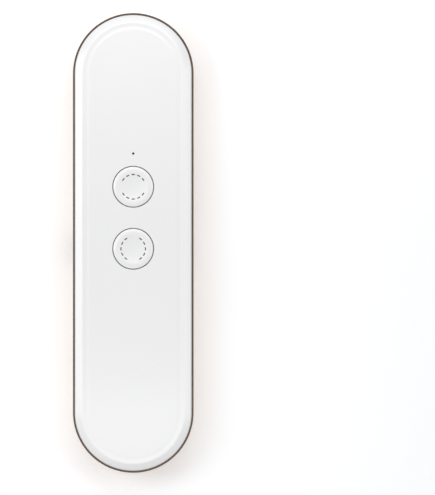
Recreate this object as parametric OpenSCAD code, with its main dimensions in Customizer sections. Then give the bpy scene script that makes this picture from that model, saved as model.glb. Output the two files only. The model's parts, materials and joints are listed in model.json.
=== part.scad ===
// Handheld voice translator, in millimetres.
//
// A pill-shaped metal tub with a rolled back edge is closed by a copper trim ring and a white gloss panel.
// Two round talk buttons come through the panel. The power key and the volume rocker are in one long side,
// the charging port and the reset pinhole in the other, and the loudspeaker grille is at the top of the back.
//
// Every sub-part is drawn as the handset lies on its back: X across it, Y up its length, Z from the flat back
// to the front. upright() then stands it up, with its front towards -Y and its top end towards +Z. The origin
// is the centre of the flat back.

/* [Body] */
// Overall length
body_len = 141; // [138:1:150]
// Overall width, which is also the diameter of the round ends
body_w = 37; // [36.6:0.1:39]
// Thickness from the flat back to the flat of the front panel
body_t = 12.4; // [12.2:0.1:13.6]
// Wall of the back shell
shell_wall = 1.3; // [1.1:0.05:1.4]
// Radius of the rolled edge round the back
back_roll_r = 7; // [6.8:0.05:7.4]
// Depth by which the flat back cuts off the crown of its rolled edge
back_flat_cut = 0.17; // [0.06:0.01:0.2]

/* [Front panel] */
// Width of the trim ring that shows round the panel
trim_w = 0.55; // [0.4:0.05:0.8]
// Height of the trim ring above the shell's rim
trim_h = 0.8; // [0.7:0.05:1.2]
// Thickness of the ledge that carries the panel's edge
ledge_t = 0.3; // [0.2:0.05:0.4]
// Thickness of the adhesive tape under the panel
tape_t = 0.3; // [0.2:0.05:0.4]
// Height of the panel's flat above the trim ring
panel_rise = 1.2; // [0.9:0.05:1.4]
// Width of the panel's rolled border
panel_roll_w = 4.8; // [3:0.1:5.4]
// Distance from the top end of the handset down to the microphone hole
mic_drop = 43.1; // [41.6:0.1:43.3]
// Diameter of the microphone hole
mic_hole_d = 0.7; // [0.5:0.05:1.2]

/* [Talk buttons] */
// Distance from the top end of the handset down to the upper button's centre
upper_button_drop = 53.3; // [53.1:0.1:54.1]
// Distance from the top end of the handset down to the lower button's centre
lower_button_drop = 72.3; // [71.5:0.1:73.5]
// Diameter of a button
button_d = 12.3; // [11.4:0.1:12.6]
// Gap between a button and its hole in the panel
button_gap = 0.25; // [0.15:0.05:0.35]
// Height of a button's crest above the panel
button_proud = 0.2; // [0.1:0.05:0.4]
// Width of the shoulder between a button's crest and its edge
shoulder_w = 1.25; // [0.9:0.05:1.6]
// Drop of the shoulder from the crest to the edge
shoulder_drop = 0.25; // [0.15:0.05:0.35]
// Depth of the finger dish in the middle of a button
dish_depth = 0.45; // [0.3:0.05:0.6]
// How far a button or a key can be pressed
press_travel = 0.3; // [0.2:0.05:0.35]

/* [Button marks] */
// Radius of the two arcs of dashes
mark_r = 3.77; // [3.2:0.01:4]
// Length of a dash
mark_len = 1.05; // [0.7:0.05:1.2]
// Width of a dash
mark_w = 0.34; // [0.2:0.02:0.4]
// Depth of the inlaid dash
mark_depth = 0.25; // [0.15:0.05:0.4]
// Dashes in each arc
marks_per_arc = 5; // [3:2:5]
// Angle between neighbouring dashes
mark_step = 26.5; // [22:0.5:30]

/* [Side keys] */
// Height of both keys' centre line above the back
key_z = 3.5; // [3.4:0.05:3.6]
// Height of a key, across its long side
key_h = 2.2; // [1.9:0.05:2.4]
// How far a key stands out of the shell
key_proud = 0.42; // [0.3:0.02:0.6]
// Gap round a key
key_gap = 0.2; // [0.15:0.05:0.25]
// Radius of a key's outer edge
key_edge_r = 0.35; // [0.2:0.05:0.6]
// Length of the power key
power_key_len = 8.65; // [7.5:0.05:9.5]
// Distance from the top end of the handset down to the power key's centre
power_key_drop = 51; // [49.5:0.1:51.5]
// Length of the volume rocker
volume_key_len = 18.2; // [17:0.1:19]
// Distance from the top end of the handset down to the volume rocker's centre
volume_key_drop = 68; // [67.5:0.1:68.7]
// Distance from the rocker's pivot to each of its two switches
rocker_arm = 6.5; // [6:0.1:7]
// Diameter of the rocker's pivot pin
pivot_d = 0.8; // [0.6:0.05:0.9]

/* [Port and pinhole] */
// Length of the port's slot
port_len = 9.6; // [9.3:0.1:10.4]
// Height of the port's slot
port_h = 3.4; // [3.3:0.05:3.5]
// Height of the port's centre above the back
port_z = 3.4; // [3.35:0.05:3.5]
// Distance from the top end of the handset down to the port's centre
port_drop = 72.3; // [70.5:0.1:73.5]
// Height of the reset pinhole's centre above the back
pinhole_z = 2.4; // [2.4:0.05:2.8]
// Distance from the top end of the handset down to the pinhole
pinhole_drop = 50.5; // [48.5:0.1:52.5]
// Diameter of the pinhole
pinhole_d = 0.8; // [0.6:0.05:1]

/* [Loudspeaker] */
// Distance from the top end of the handset down to the middle of the grille
grille_drop = 22.1; // [21.5:0.1:23]
// Diameter of a grille hole
grille_hole_d = 0.78; // [0.5:0.02:1]
// Distance between neighbouring columns of holes
grille_column_pitch = 1.71; // [1.5:0.01:1.9]
// Distance between neighbouring holes of a column
grille_row_pitch = 1.94; // [1.5:0.01:2]
// Holes in the outer, middle and inner columns; the columns between them have one more
grille_rows = 9; // [5:2:9]
// Width of the loudspeaker
speaker_w = 15; // [14:0.1:16]
// Length of the loudspeaker
speaker_len = 24; // [22:0.1:24.4]
// Thickness of the loudspeaker
speaker_t = 4.8; // [4.4:0.1:5.6]

/* [Electronics] */
// Thickness of the main board
board_t = 1; // [0.8:0.1:1.2]
// Length of the main board, which begins just below the loudspeaker
board_len = 48; // [46:0.5:50]
// Width of the battery, which fills the length that the board leaves
battery_w = 27; // [22:0.5:27]
// Thickness of the battery
battery_t = 6.6; // [5:0.1:6.8]

/* [Hidden] */
$fn = 96;

// Clearances and small sizes that several pieces share
slip = 0.05;            // between a moving face and the face that it stops on or slides in
glue_gap = 0.02;        // between fixed pieces that are bonded, soldered or pressed together
past = 1;               // how far a cutting tool runs past the face that it opens

// Outline and heights of the body
half_w = body_w / 2;
roll_x = half_w - back_roll_r;
roll_z = back_roll_r - back_flat_cut;
body_run = body_len - body_w;
top_y = body_len / 2;
rim_z = body_t - panel_rise - trim_h;
ledge_z = rim_z + ledge_t;
panel_z = ledge_z + tape_t;
panel_edge_z = rim_z + trim_h;
panel_r = half_w - trim_w - slip;

// Room left along the length
speaker_end_gap = 2.9;  // between the loudspeaker and the board
board_end_gap = 5.5;    // between the board and the battery, for its circuit and leads
battery_end_inset = 17.5;   // from the lower end of the handset to the battery

// Places along the length
mic_y = top_y - mic_drop;
upper_button_y = top_y - upper_button_drop;
lower_button_y = top_y - lower_button_drop;
power_key_y = top_y - power_key_drop;
volume_key_y = top_y - volume_key_drop;
port_y = top_y - port_drop;
pinhole_y = top_y - pinhole_drop;
speaker_y = top_y - grille_drop;
board_top_y = speaker_y - speaker_len / 2 - speaker_end_gap;
board_bottom_y = board_top_y - board_len;
battery_top_y = board_bottom_y - board_end_gap;
battery_len = battery_top_y + top_y - battery_end_inset;

// Locating lip of the trim ring, just inside the shell's wall
lip_t = 0.7;
lip_h = 1;
lip_gap = 0.1;
lip_inner_r = half_w - shell_wall - lip_gap - lip_t;

// Chassis, and the bosses of the shell that carry it
chassis_t = 1.2;
chassis_z = ledge_z - chassis_t;
chassis_r = lip_inner_r - 0.15;
boss_r = 2.2;
screw_r = 0.8;
screw_len = 4;
screw_head_r = 1.5;
screw_head_t = 0.65;
side_boss_inset = 5.7;  // from a long side of the handset to the centre of its bosses
side_boss_x = half_w - side_boss_inset;
end_boss_inset = 6.4;   // from an end of the handset to the centre of its boss
board_margin = 2.9;     // from an end of the board to the centre of the bosses beyond it
boss_places = [
    for (end = [-1, 1]) [0, end * (top_y - end_boss_inset)],
    for (side = [-1, 1], y = [board_bottom_y - board_margin, board_top_y + board_margin])
        [side * side_boss_x, y]
];

// Main board, which lies on the port's metal shell
usb_w = 8.94;
usb_h = 3.16;
usb_depth = 7.35;
usb_wall = 0.3;
usb_recess = 0.4;
board_z = port_z + usb_h / 2 + glue_gap;
board_top_z = board_z + board_t;
board_side_gap = 5.6;   // from a long side of the handset to the board
board_half_w = half_w - board_side_gap;
rest_r = 1.5;
rest_post_r = 1.2;
rest_x = board_half_w - 2.4;
rest_inset = 2;         // from an end of the board to the centre of its rests
rest_places = [
    for (side = [-1, 1], y = [board_bottom_y + rest_inset, board_top_y - rest_inset]) [side * rest_x, y]
];

// Side keys: the flat inner face of the shell's key pad stops the power key's wings
pad_x = half_w - 4.1;
pad_top_z = 6.2;
pad_reach = 1.6;        // of the pad past the outer ends of both keys
wing_t = 0.7;
wing_reach = 0.8;
key_inner_x = pad_x - slip - wing_t;
key_outer_x = shell_x(key_z, back_roll_r) + key_proud;
pivot_inset = 1;
pivot_x = pad_x + pivot_inset;
pivot_socket = 0.5;     // how far the pin reaches below the rocker's slot
pivot_bottom_z = key_z - key_h / 2 - key_gap - pivot_socket;
rocker_nub_r = 0.5;
rocker_nub_rise = 0.3;
side_cut_depth = 5.5;   // of the cuts through the port's side, well past the wall
side_cut_x = half_w - side_cut_depth;

// Switches, and the metal can between the two talk switches
can_w = 18;
can_h = 1.8;
can_sheet_t = 0.2;
can_gap = 2.3;
can_hole_r = 0.4;
can_hole_pitch = 4;
talk_switch_w = 6;
talk_switch_h = 3.3;
talk_plunger_r = 1.7;
talk_plunger_proud = 0.7;
power_switch_w = 6;
volume_switch_w = 4.5;
reset_switch_w = 3.5;
side_switch_depth = 3.4;
side_switch_wall = 0.35;
side_plunger_r = 0.75;
reset_plunger_r = 0.5;
side_plunger_tip_x = key_inner_x - slip;
rocker_inner_x = side_plunger_tip_x + slip + rocker_nub_rise;
plunger_sunk = 1.1;     // length of a plunger inside its switch
plunger_room = 0.1;     // left under a plunger that is fully pressed
talk_plunger_z = board_top_z + talk_switch_h + talk_plunger_proud;

// Talk button, in its own half-section
button_r = button_d / 2;
crest_r = button_r - shoulder_w;
crest_z = body_t + button_proud;
flange_reach = 0.75;
flange_t = 0.7;
flange_z = panel_z - slip - flange_t;
skin_t = 0.9;
post_r = 1.5;
shoulder_arc_r = sagitta_radius(shoulder_w, shoulder_drop);
dish_arc_r = sagitta_radius(crest_r, dish_depth) - shoulder_arc_r;
dish_join_r = crest_r * dish_arc_r / (dish_arc_r + shoulder_arc_r);
dish_centre_z = crest_z - dish_depth + dish_arc_r;

// Loudspeaker stack
mesh_t = 0.15;
gasket_t = 0.7;
speaker_z = shell_wall + gasket_t;
speaker_top_z = speaker_z + speaker_t;

// Battery stack
battery_tape_t = 0.4;
battery_z = shell_wall + battery_tape_t;
circuit_size = [18, 2.1, 4.4];
battery_socket_size = [5.4, 3.8, 1.8];
socket_inset = 0.6;     // from the board's lower end to the socket
lead_z = board_z - battery_socket_size.z / 2;

// Antenna film on the inner wall
film_t = 0.2;
film_r = half_w - shell_wall - slip - film_t;
film_z = 6.6;
film_h = 2.6;

// X of the rolled edge at height z, for an arc of radius r about the roll's centre line
function shell_x(z, r) = roll_x + sqrt(r * r - pow(roll_z - z, 2));

// Radius of the arc that drops by `drop` over the width w
function sagitta_radius(w, drop) = (w * w + drop * drop) / (2 * drop);

// ---- Shared shapes ----

// Stands the lying handset up, front towards -Y
module upright() {
    rotate([90, 0, 0])
        children();
}

// Points what is drawn along Z out of the +X side (side = 1) or the -X side (side = -1)
module out_of_side(side, y, z) {
    translate([0, y, z])
        rotate([0, 90 * side, 0])
            children();
}

// Sweeps a half-section, drawn in X and Y, round a pill outline whose straight run lies along Y
module pill(run) {
    for (turn = [0, 180])
        rotate(turn)
            translate([0, run / 2, 0])
                rotate_extrude(angle = 180)
                    children();
    rotate([90, 0, 0])
        linear_extrude(run, center = true) {
            children();
            mirror([1, 0])
                children();
        }
}

// Quarter of a disc, in the corner between +X and +Y
module quarter(r) {
    intersection() {
        circle(r);
        square(2 * r);
    }
}

// Half-section of a bar from z0 to z1 with a rounded outer edge
module rounded_section(r, z0, z1, edge) {
    translate([0, z0])
        square([r, z1 - z0 - edge]);
    translate([0, z0])
        square([r - edge, z1 - z0]);
    translate([r - edge, z1 - edge])
        quarter(edge);
}

// Rectangle with rounded corners, centred
module rounded_rectangle(w, l, r) {
    square([w - 2 * r, l], center = true);
    square([w, l - 2 * r], center = true);
    for (turn = [0, 1])
        rotate(180 * turn) {
            translate([w / 2 - r, l / 2 - r])
                quarter(r);
            mirror([1, 0])
                translate([w / 2 - r, l / 2 - r])
                    quarter(r);
        }
}

// Box centred in X and Y, standing on its own base
module block(size) {
    translate([-size.x / 2, -size.y / 2, 0])
        cube(size);
}

// ---- Housing ----

// Half-section of the tub as a filled form, pulled in by `inset`
module tub_outline(inset) {
    r = back_roll_r - inset;
    intersection() {
        union() {
            square([roll_x, rim_z]);
            translate([0, roll_z])
                square([roll_x + r, rim_z - roll_z]);
            translate([roll_x, roll_z])
                mirror([0, 1])
                    quarter(r);
        }
        translate([0, inset])
            square([half_w, rim_z - inset]);
    }
}

// Screw bosses, board rests and key pad, drawn from below and trimmed to the tub by the caller
module tub_features() {
    for (place = boss_places)
        translate(place)
            cylinder(r = boss_r, h = chassis_z);
    for (place = rest_places)
        translate(place)
            cylinder(r = rest_r, h = board_z);
    pad_bottom_y = volume_key_y - volume_key_len / 2 - pad_reach;
    pad_top_y = power_key_y + power_key_len / 2 + pad_reach;
    translate([pad_x, pad_bottom_y, 0])
        cube([half_w - pad_x, pad_top_y - pad_bottom_y, pad_top_z]);
}

module key_slot(y, length) {
    out_of_side(1, y, key_z)
        pill(length - key_h)
            translate([0, pad_x - past])
                square([key_h / 2 + key_gap, half_w - pad_x + 2 * past]);
}

module grille_holes() {
    for (column = [-2 : 2]) {
        rows = grille_rows + abs(column) % 2;
        for (row = [0 : rows - 1])
            translate([
                column * grille_column_pitch,
                speaker_y + (row - (rows - 1) / 2) * grille_row_pitch,
                -past
            ])
                cylinder(d = grille_hole_d, h = shell_wall + 2 * past);
    }
}

module back_shell() {
    color("#b7a08f")
        upright()
            difference() {
                union() {
                    pill(body_run)
                        difference() {
                            tub_outline(0);
                            tub_outline(shell_wall);
                            translate([0, rim_z - past])
                                square([half_w - shell_wall, 2 * past]);
                        }
                    intersection() {
                        tub_features();
                        pill(body_run)
                            tub_outline(shell_wall / 2);
                    }
                }
                for (place = boss_places)
                    translate([place.x, place.y, chassis_z - screw_len])
                        cylinder(r = screw_r + glue_gap, h = screw_len + past);
                key_slot(power_key_y, power_key_len);
                key_slot(volume_key_y, volume_key_len);
                translate([pivot_x, volume_key_y, pivot_bottom_z])
                    cylinder(d = pivot_d + 2 * glue_gap, h = pad_top_z);
                out_of_side(-1, port_y, port_z)
                    pill(port_len - port_h)
                        translate([0, side_cut_x])
                            square([port_h / 2, half_w + past - side_cut_x]);
                out_of_side(-1, pinhole_y, pinhole_z)
                    translate([0, 0, side_cut_x])
                        cylinder(d = pinhole_d, h = half_w + past - side_cut_x);
                grille_holes();
            }
}

// Copper line round the panel, with a ledge for the panel's edge and a lip that finds the shell's wall
module trim_ring() {
    bevel = 0.15;
    color("#7d695c")
        upright()
            pill(body_run) {
                polygon([
                    [lip_inner_r, rim_z], [half_w, rim_z], [half_w, panel_edge_z - bevel],
                    [half_w - bevel, panel_edge_z], [half_w - trim_w, panel_edge_z],
                    [half_w - trim_w, ledge_z], [lip_inner_r, ledge_z]
                ]);
                translate([lip_inner_r, rim_z - lip_h])
                    square([lip_t, lip_h]);
            }
}

module front_panel() {
    roll_r = sagitta_radius(panel_roll_w, panel_rise);
    color("#f4f5f6")
        upright()
            difference() {
                pill(body_run) {
                    translate([0, panel_z])
                        square([panel_r - panel_roll_w, body_t - panel_z]);
                    intersection() {
                        translate([panel_r - panel_roll_w, body_t - roll_r])
                            circle(roll_r);
                        translate([panel_r - panel_roll_w, panel_z])
                            square([panel_roll_w, body_t]);
                    }
                }
                for (y = [upper_button_y, lower_button_y])
                    translate([0, y, panel_z - past])
                        cylinder(r = button_r + button_gap, h = body_t);
                translate([0, mic_y, panel_z - past])
                    cylinder(d = mic_hole_d, h = body_t);
            }
}

// Tape between the panel and both the chassis and the trim ring's ledge
module panel_tape() {
    tape_w = 4.2;
    color("#33363a")
        upright()
            pill(body_run)
                translate([panel_r - slip - tape_w, ledge_z])
                    square([tape_w, tape_t]);
}

// Moulded plate that clamps the board, the battery and the loudspeaker
module inner_chassis() {
    rib_w = 1.2;
    window_margin = 3.4;
    color("#d8dadb")
        upright()
            difference() {
                union() {
                    pill(body_run)
                        translate([0, chassis_z])
                            square([chassis_r, chassis_t]);
                    for (place = rest_places)
                        translate([place.x, place.y, board_top_z])
                            cylinder(r = rest_post_r, h = chassis_z - board_top_z);
                    for (side = [-1, 1])
                        translate([side * speaker_w * 0.3, speaker_y, speaker_top_z])
                            cylinder(r = rest_post_r, h = chassis_z - speaker_top_z);
                    for (place = [0.2, 0.8])
                        translate([0, battery_top_y - battery_len * place, battery_z + battery_t + slip])
                            block([battery_w * 0.9, rib_w, chassis_z - battery_z - battery_t - slip]);
                }
                for (y = [upper_button_y, lower_button_y])
                    translate([0, y, chassis_z - past])
                        cylinder(r = button_r + flange_reach + 0.45, h = chassis_t + 2 * past);
                translate([0, mic_y, chassis_z - past])
                    cylinder(r = 2.35, h = chassis_t + 2 * past);
                translate([0, battery_top_y - battery_len / 2, chassis_z - past])
                    linear_extrude(chassis_t + 2 * past)
                        rounded_rectangle(battery_w - 2 * window_margin, battery_len * 0.45, 2);
                for (place = boss_places)
                    translate([place.x, place.y, chassis_z - past]) {
                        cylinder(r = screw_r + 0.15, h = chassis_t + 2 * past);
                        translate([0, 0, past + chassis_t - screw_head_t - slip])
                            cylinder(r = screw_head_r + 0.15, h = chassis_t);
                    }
            }
}

// Cross-head screws that hold the chassis on the shell's bosses
module chassis_screws() {
    recess_l = 1.5;
    recess_w = 0.35;
    recess_depth = 0.4;
    head_z = ledge_z - screw_head_t - slip;
    color("#8d9094")
        upright()
            for (place = boss_places)
                translate([place.x, place.y, head_z])
                    difference() {
                        union() {
                            cylinder(r = screw_head_r, h = screw_head_t);
                            translate([0, 0, -screw_len + chassis_t - screw_head_t])
                                cylinder(r = screw_r, h = screw_len - chassis_t + screw_head_t);
                        }
                        for (turn = [45, 135])
                            translate([0, 0, screw_head_t - recess_depth])
                                rotate(turn)
                                    block([recess_l, recess_w, recess_depth + past]);
                    }
}

// ---- Talk buttons ----

// Half-section of a button: dished crown, retaining flange, hollow underside and centre post
module button_section() {
    crown_z = flange_z + flange_t;
    difference() {
        translate([0, crown_z])
            square([dish_join_r, crest_z - crown_z]);
        translate([0, dish_centre_z])
            circle(dish_arc_r);
    }
    intersection() {
        translate([crest_r, crest_z - shoulder_arc_r])
            circle(shoulder_arc_r);
        translate([dish_join_r, crown_z])
            square([button_r - dish_join_r, crest_z]);
    }
    translate([0, flange_z + flange_t - skin_t / 2])
        square([button_r + flange_reach, skin_t / 2]);
    translate([button_r - 1.4, flange_z])
        square([1.4 + flange_reach, flange_t]);
    translate([0, talk_plunger_z])
        square([post_r, crown_z - talk_plunger_z]);
}

// Places the dashes of both arcs: `across` = 0 puts the arcs above and below, 90 to the left and right
module at_marks(across) {
    for (arc = [90, 270], i = [0 : marks_per_arc - 1])
        rotate(across + arc + (i - (marks_per_arc - 1) / 2) * mark_step)
            children();
}

// One dash, as an arc about the button's centre, widened by `clear` for its groove
module mark(z0, z1, clear) {
    half_angle = (mark_len / 2 + clear) / mark_r * 180 / PI;
    rotate(-half_angle)
        rotate_extrude(angle = 2 * half_angle)
            translate([mark_r - mark_w / 2 - clear, z0])
                square([mark_w + 2 * clear, z1 - z0]);
}

// Height of the dish at the dashes, where their tops lie level
mark_top_z = dish_centre_z - sqrt(pow(dish_arc_r, 2) - pow(mark_r, 2)) - 0.03;

module talk_button(y, across) {
    color("#f1f2f3")
        upright()
            translate([0, y, 0])
                difference() {
                    rotate_extrude()
                        button_section();
                    at_marks(across)
                        mark(mark_top_z - mark_depth, crest_z + past, glue_gap);
                }
}

module button_marks(y, across) {
    color("#6f7072")
        upright()
            translate([0, y, 0])
                at_marks(across)
                    mark(mark_top_z - mark_depth, mark_top_z, 0);
}

module talk_switch(y) {
    color("#2c2d2f")
        upright()
            translate([0, y, board_top_z])
                difference() {
                    union() {
                        block([talk_switch_w, talk_switch_w, talk_switch_h]);
                        for (side = [-1, 1])
                            translate([0, side * 1.8, 0])
                                block([talk_switch_w + 2, 0.7, 0.3]);
                    }
                    translate([0, 0, talk_switch_h - plunger_sunk - press_travel - plunger_room])
                        cylinder(r = talk_plunger_r + slip, h = talk_switch_h);
                }
}

module talk_plunger(y) {
    color("#c9cbcd")
        upright()
            translate([0, y, talk_plunger_z - talk_plunger_proud - plunger_sunk])
                cylinder(r = talk_plunger_r, h = talk_plunger_proud + plunger_sunk);
}

module upper_talk_button() {
    talk_button(upper_button_y, 0);
}

module upper_button_marks() {
    button_marks(upper_button_y, 0);
}

module upper_switch_plunger() {
    talk_plunger(upper_button_y);
}

module upper_switch() {
    talk_switch(upper_button_y);
}

module lower_talk_button() {
    talk_button(lower_button_y, 90);
}

module lower_button_marks() {
    button_marks(lower_button_y, 90);
}

module lower_switch_plunger() {
    talk_plunger(lower_button_y);
}

module lower_switch() {
    talk_switch(lower_button_y);
}

// ---- Side keys and their switches ----

module power_key() {
    wing_span = power_key_len + 2 * wing_reach;
    color("#e9d8ca")
        upright() {
            out_of_side(1, power_key_y, key_z)
                pill(power_key_len - key_h)
                    rounded_section(key_h / 2, key_inner_x, key_outer_x, key_edge_r);
            translate([key_inner_x + wing_t / 2, power_key_y, key_z - key_h / 2])
                block([wing_t, wing_span, key_h]);
        }
}

// Rocker on its pivot pin, with a round nub at each end for the two switches
module volume_key() {
    color("#e9d8ca")
        upright()
            difference() {
                union() {
                    out_of_side(1, volume_key_y, key_z)
                        pill(volume_key_len - key_h)
                            rounded_section(key_h / 2, rocker_inner_x, key_outer_x, key_edge_r);
                    for (side = [-1, 1])
                        translate([
                            side_plunger_tip_x + slip + rocker_nub_r,
                            volume_key_y + side * rocker_arm,
                            key_z - key_h / 2
                        ])
                            cylinder(r = rocker_nub_r, h = key_h);
                }
                translate([pivot_x, volume_key_y, 0])
                    cylinder(d = pivot_d + 2 * slip, h = body_t);
            }
}

module volume_pivot_pin() {
    color("#b9bcc0")
        upright()
            translate([pivot_x, volume_key_y, pivot_bottom_z])
                cylinder(d = pivot_d, h = pad_top_z - pivot_bottom_z);
}

// Side-acting switch under the board, its plunger towards the shell's wall
module side_switch(side, y, z, w, r) {
    body_h = board_z - z + r + side_switch_wall;
    front_x = board_half_w;
    translate([0, y, 0])
        difference() {
            translate([side * (front_x - side_switch_depth / 2), 0, board_z - body_h])
                block([side_switch_depth, w, body_h]);
            out_of_side(side, 0, z)
                translate([0, 0, front_x - plunger_sunk - press_travel - plunger_room])
                    cylinder(r = r + slip, h = side_switch_depth);
        }
}

module side_plunger(side, y, z, r) {
    out_of_side(side, y, z)
        translate([0, 0, board_half_w - plunger_sunk])
            cylinder(r = r, h = side_plunger_tip_x - board_half_w + plunger_sunk);
}

module power_switch() {
    color("#2c2d2f")
        upright()
            side_switch(1, power_key_y, key_z, power_switch_w, side_plunger_r);
}

module power_switch_plunger() {
    color("#e6e2da")
        upright()
            side_plunger(1, power_key_y, key_z, side_plunger_r);
}

module volume_switches() {
    color("#2c2d2f")
        upright()
            for (side = [-1, 1])
                side_switch(1, volume_key_y + side * rocker_arm, key_z, volume_switch_w, side_plunger_r);
}

module volume_up_plunger() {
    color("#e6e2da")
        upright()
            side_plunger(1, volume_key_y + rocker_arm, key_z, side_plunger_r);
}

module volume_down_plunger() {
    color("#e6e2da")
        upright()
            side_plunger(1, volume_key_y - rocker_arm, key_z, side_plunger_r);
}

module reset_switch() {
    color("#2c2d2f")
        upright()
            side_switch(-1, pinhole_y, pinhole_z, reset_switch_w, reset_plunger_r);
}

module reset_plunger() {
    color("#e6e2da")
        upright()
            side_plunger(-1, pinhole_y, pinhole_z, reset_plunger_r);
}

// ---- Board and what it carries ----

module main_board() {
    tab_w = usb_w + 4;
    tab_x = half_w - 3.3;
    color("#1f5a3c")
        upright()
            difference() {
                translate([0, 0, board_z])
                    linear_extrude(board_t) {
                        translate([-board_half_w, board_bottom_y])
                            square([2 * board_half_w, board_top_y - board_bottom_y]);
                        translate([-tab_x, port_y - tab_w / 2])
                            square([tab_x, tab_w]);
                    }
                usb_leg_places()
                    translate([0, 0, board_z - past])
                        block([
                            usb_leg_l + 2 * usb_leg_hole_gap,
                            usb_leg_t + 2 * usb_leg_hole_gap,
                            board_t + 2 * past
                        ]);
            }
}

module shield_can() {
    can_l = upper_button_y - lower_button_y - talk_switch_w - 2 * can_gap;
    can_y = (upper_button_y + lower_button_y) / 2;
    color("#b4b8bb")
        upright()
            translate([0, can_y, board_top_z])
                difference() {
                    block([can_w, can_l, can_h]);
                    translate([0, 0, -past])
                        block([can_w - 2 * can_sheet_t, can_l - 2 * can_sheet_t, can_h - can_sheet_t + past]);
                    for (column = [-1.5 : 1.5], row = [-0.5, 0.5])
                        translate([column * can_hole_pitch, row * can_hole_pitch, 0])
                            cylinder(r = can_hole_r, h = can_h + past);
                }
}

// Chips on both faces of the board: [x, y below the board's upper end, width, length, height]
front_chips = [
    [-6.8, 41.8, 5.6, 5, 0.9], [8, 42.2, 4, 4, 0.8], [-6.6, 3.7, 4, 3.2, 1], [7.4, 4.4, 3, 5, 0.8],
    [-2.5, 25.8, 7, 5.5, 0.9], [4.6, 25.8, 4, 4, 0.8]
];
back_chips = [[-2, 18, 8, 8, 0.9], [3, 30, 5, 6, 0.8], [0, 6, 3.2, 2.5, 0.7]];

module board_chips() {
    color("#26282b")
        upright() {
            for (chip = front_chips)
                translate([chip[0], board_top_y - chip[1], board_top_z])
                    block([chip[2], chip[3], chip[4]]);
            for (chip = back_chips)
                translate([chip[0], board_top_y - chip[1], board_z - chip[4]])
                    block([chip[2], chip[3], chip[4]]);
        }
}

mic_h = 1.1;

module front_mic() {
    color("#c8b27a")
        upright()
            translate([0, mic_y, board_top_z])
                difference() {
                    block([3.8, 3, mic_h]);
                    translate([0, 0, mic_h / 2])
                        cylinder(r = 0.3, h = mic_h);
                }
}

// Rubber tube that leads the sound from the panel's hole to the microphone
module mic_boot() {
    boot_z = board_top_z + mic_h;
    color("#1c1d1f")
        upright()
            translate([0, mic_y, boot_z])
                difference() {
                    cylinder(r = 2.2, h = panel_z - boot_z);
                    translate([0, 0, -past])
                        cylinder(d = mic_hole_d + 0.5, h = panel_z);
                }
}

// ---- Charging port ----

usb_front_x = shell_x(port_z, back_roll_r) - usb_recess;
usb_leg_l = 1.1;
usb_leg_t = 0.25;
usb_leg_start = 0.5;    // above the port's centre, inside the metal of the round end
usb_leg_insets = [3.1, 6.3];    // from the port's mouth to each pair of legs
usb_leg_hole_gap = 0.15;

// The four solder legs, centred on each
module usb_leg_places() {
    for (inset = usb_leg_insets, side = [-1, 1])
        translate([inset - usb_front_x, port_y + side * (usb_w / 2 - usb_leg_t), 0])
            children();
}

module usb_shell() {
    color("#c3c6c9")
        upright() {
            out_of_side(-1, port_y, port_z)
                pill(usb_w - usb_h)
                    difference() {
                        translate([0, usb_front_x - usb_depth])
                            square([usb_h / 2, usb_depth]);
                        translate([0, usb_front_x - usb_depth + usb_wall])
                            square([usb_h / 2 - usb_wall, usb_depth]);
                    }
            usb_leg_places()
                translate([0, 0, port_z + usb_leg_start])
                    block([usb_leg_l, usb_leg_t, board_top_z + 0.4 - port_z - usb_leg_start]);
        }
}

tongue_w = 6.7;
tongue_t = 0.7;
tongue_recess = 1;

module usb_tongue() {
    base_len = 1.6;
    base_x = usb_front_x - usb_depth + usb_wall;
    color("#1b1c1e")
        upright()
            out_of_side(-1, port_y, port_z) {
                pill(usb_w - usb_h)
                    translate([0, base_x])
                        square([usb_h / 2 - usb_wall - glue_gap, base_len]);
                translate([0, 0, base_x])
                    block([tongue_t, tongue_w, usb_front_x - tongue_recess - base_x]);
            }
}

// Twelve gold strips on each face of the tongue
module usb_contacts() {
    pitch = 0.5;
    strip = [0.05, 0.25, 3.2];
    color("#cda45a")
        upright()
            out_of_side(-1, port_y, port_z)
                for (face = [-1, 1], i = [0 : 11])
                    translate([
                        face * (tongue_t + strip.x) / 2,
                        (i - 5.5) * pitch,
                        usb_front_x - tongue_recess - 0.5 - strip.z
                    ])
                        block(strip);
}

// ---- Loudspeaker ----

speaker_run = speaker_len - speaker_w;
speaker_wall = 1;

module speaker_frame() {
    plate_t = 0.8;
    color("#2a2b2d")
        upright()
            translate([0, speaker_y, 0])
                pill(speaker_run) {
                    translate([speaker_w / 2 - speaker_wall, speaker_z])
                        square([speaker_wall, speaker_t]);
                    translate([0, speaker_top_z - plate_t])
                        square([speaker_w / 2, plate_t]);
                }
}

module speaker_magnet() {
    magnet_h = 1.9;
    color("#9a9da1")
        upright()
            translate([0, speaker_y, speaker_top_z - 0.8 - magnet_h])
                pill(speaker_run)
                    square([speaker_w * 0.3, magnet_h]);
}

// Thin diaphragm: shallow dome, then a surround that sits in the frame's open face
module speaker_cone() {
    outer_r = speaker_w / 2 - speaker_wall - glue_gap;
    film = 0.2;
    low = 0.1;
    high = 0.5;
    // Face of the film, as share of its radius and height: dome, then cone, then surround
    face = [[0, low], [0.45, low], [0.62, high], [0.72, high], [0.86, low], [1, low]];
    color("#3a3330")
        upright()
            translate([0, speaker_y, speaker_z])
                pill(speaker_run)
                    polygon(concat(
                        [for (point = face) [point.x * outer_r, point.y]],
                        [for (i = [len(face) - 1 : -1 : 0]) [face[i].x * outer_r, face[i].y + film]]
                    ));
}

module speaker_gasket() {
    color("#3c3e41")
        upright()
            translate([0, speaker_y, shell_wall])
                pill(speaker_run)
                    translate([speaker_w / 2 - 1.9, 0])
                        square([1.9, gasket_t]);
}

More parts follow.
